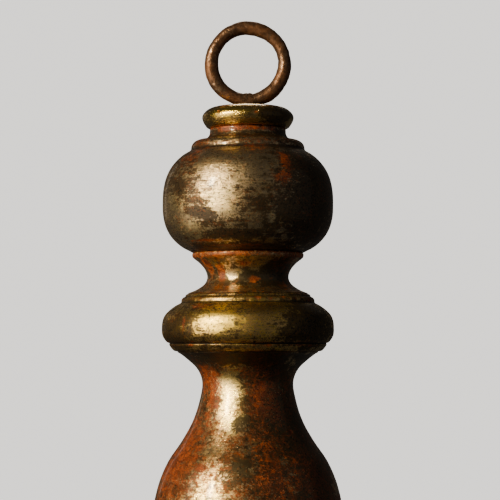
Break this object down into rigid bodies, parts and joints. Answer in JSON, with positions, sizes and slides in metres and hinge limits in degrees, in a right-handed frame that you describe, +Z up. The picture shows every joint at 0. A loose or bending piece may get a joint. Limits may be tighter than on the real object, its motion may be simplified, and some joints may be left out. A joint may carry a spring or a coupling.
{
  "type": "turned hanging pendant finial",
  "caption": "Gilded turned-wood pendant that hangs from a forged iron loop: cap, ball, spool, collar, pear and drop on one rod.",
  "frame": {"origin": "inside of the loop's crown, on the pendant's axis, where the hook bears", "axes": "+Z up along the rod, from the drop towards the loop; the loop lies in the XZ plane, and -Y is the front"},
  "size_m": [0.092, 0.092, 0.3288],
  "materials": {
    "forged_iron": "hand-forged bar iron, brown with rust and rubbed bright in use",
    "washer_iron": "dark scaled iron, lightly rusted",
    "gold_leaf": "turned wood, gold-toned leaf over red bole, rubbed through at the edges",
    "silver_leaf": "turned wood, silver leaf over red bole, tarnished grey and brown under old varnish",
    "worn_leaf_on_bole": "turned wood, orange-red bole with much-worn silver and pale gold leaf"
  },
  "bodies": {
    "rod_group": {"eye_rod": "forged_iron", "clamp_washer": "washer_iron", "clamp_nut": "washer_iron", "drop_ferrule": "washer_iron", "drop": "worn_leaf_on_bole"},
    "turned_stack": {"top_washer": "washer_iron", "cap": "gold_leaf", "ball": "silver_leaf", "spool": "worn_leaf_on_bole", "collar": "gold_leaf", "pear": "worn_leaf_on_bole", "foot_collar": "gold_leaf"}
  },
  "joints": [
    {"name": "stack_swivel", "type": "hinge", "parent": "rod_group", "child": "turned_stack", "pos_m": [0, 0, -0.284], "axis": [0, 0, 1], "continuous": true}
  ]
}
